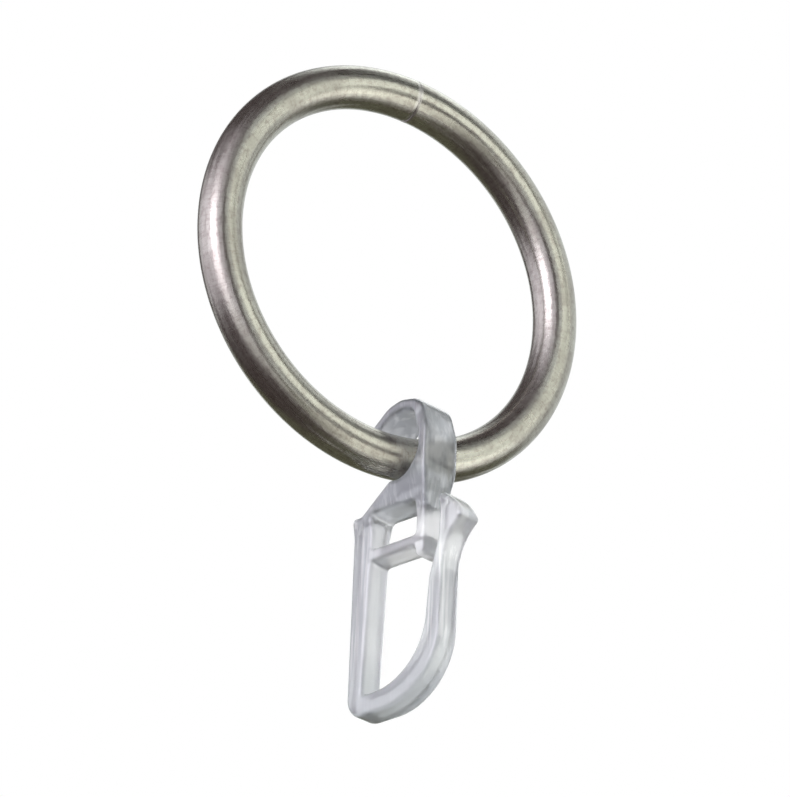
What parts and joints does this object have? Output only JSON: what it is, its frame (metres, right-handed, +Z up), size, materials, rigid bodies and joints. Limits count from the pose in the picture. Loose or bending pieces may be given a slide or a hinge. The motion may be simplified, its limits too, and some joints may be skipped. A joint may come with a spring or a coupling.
{
  "type": "curtain ring with hook",
  "caption": "Round metal curtain ring for a rod, with a clear plastic pleat hook clipped on its wire; the hook swings and its springy arm takes a curtain tape loop.",
  "frame": {"origin": "centre of the ring, on the axis of the rod that it runs on", "axes": "+Z up towards the top of the ring, +Y along the rod to the back, +X to the right seen from the front"},
  "size_m": [0.04, 0.0133, 0.0617],
  "materials": {
    "ring_metal": "satin, drawn along the wire",
    "hook_plastic": "clear moulding"
  },
  "bodies": {
    "ring": {"ring": "ring_metal"},
    "hook": {"hook": "hook_plastic"}
  },
  "joints": [
    {"name": "hook_swing", "type": "hinge", "parent": "ring", "child": "hook", "pos_m": [0.00292, 0, -0.01761], "axis": [0.9866, 0, 0.1633], "continuous": true}
  ]
}
